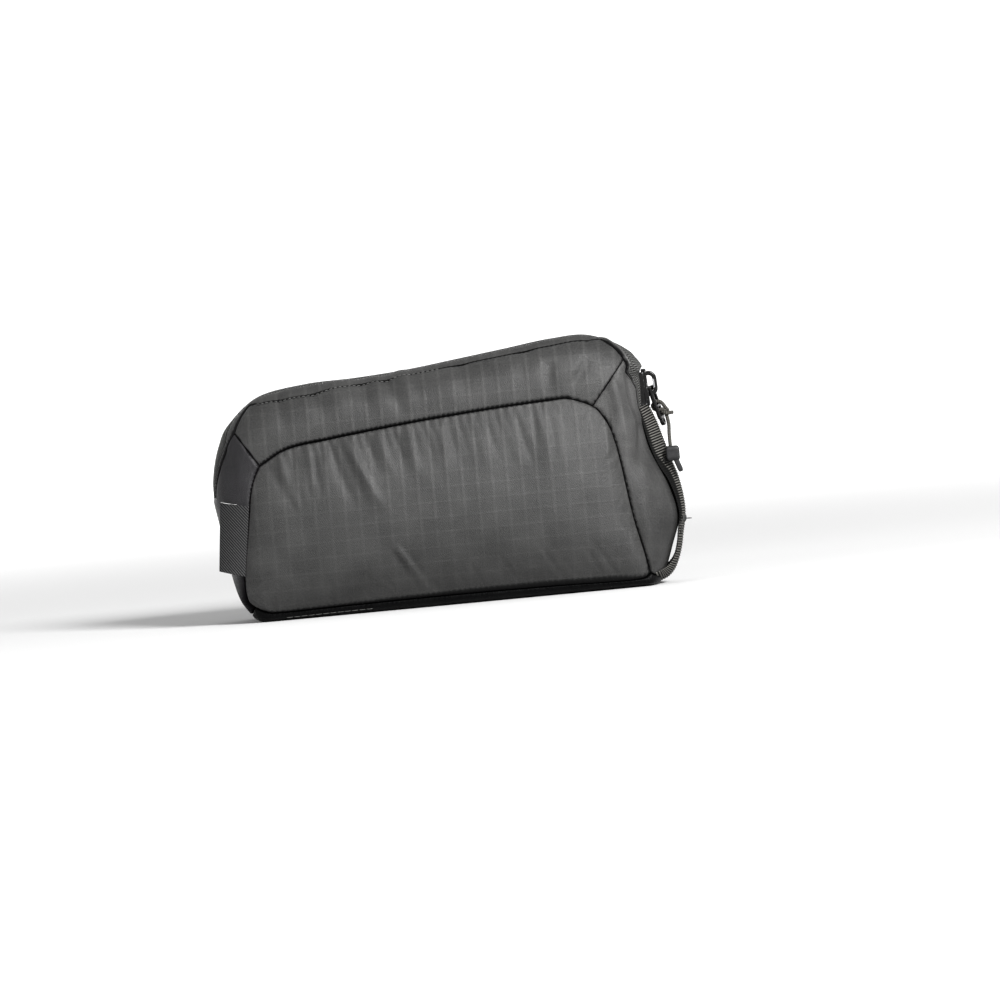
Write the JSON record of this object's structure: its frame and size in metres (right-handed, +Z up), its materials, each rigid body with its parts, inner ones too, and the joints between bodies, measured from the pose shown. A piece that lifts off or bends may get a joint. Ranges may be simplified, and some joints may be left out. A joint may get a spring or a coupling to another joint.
{
  "type": "top tube bag",
  "caption": "Soft zipped bag for a bicycle's top tube: cloth panels sewn to end gussets and a base, zip with corded puller, webbing strap down the front.",
  "frame": {"origin": "under the middle of the bag, on the surface that its base stands on", "axes": "+Z up, +X along the bag towards the zip slider and the front strap, +Y to the bag's left"},
  "size_m": [0.1884, 0.0536, 0.1025],
  "materials": {
    "ripstop": "coated ripstop cloth",
    "gusset_cloth": "coated ripstop cloth",
    "base_cloth": "smooth coated cloth",
    "zip_tape": "woven zip tape",
    "zip_coil": "satin coil",
    "slider_metal": "dark plated die casting",
    "pull_cord": "braided cord",
    "moulded_end": "matte moulded rubber",
    "webbing": "ribbed webbing",
    "label_twill": "twill label"
  },
  "bodies": {
    "bag": {"side_panel_right": "ripstop", "side_panel_left": "ripstop", "base_panel": "base_cloth", "rear_gusset": "gusset_cloth", "front_gusset": "gusset_cloth", "top_band_right": "ripstop", "top_band_left": "ripstop", "zip_strip_right": "ripstop", "zip_strip_left": "ripstop", "zip_tape_right": "zip_tape", "zip_tape_left": "zip_tape", "zip_coil": "zip_coil", "zip_slider": "slider_metal", "front_strap": "webbing", "side_label": "label_twill"},
    "puller": {"zip_puller": "slider_metal", "pull_loop": "pull_cord", "pull_knot": "pull_cord", "pull_strand": "pull_cord", "cord_end": "moulded_end"}
  },
  "joints": [
    {"name": "puller_swing", "type": "hinge", "parent": "bag", "child": "puller", "pos_m": [0.0843, 0, 0.0786], "axis": [0, -1, 0], "range_deg": [0, 110]}
  ]
}
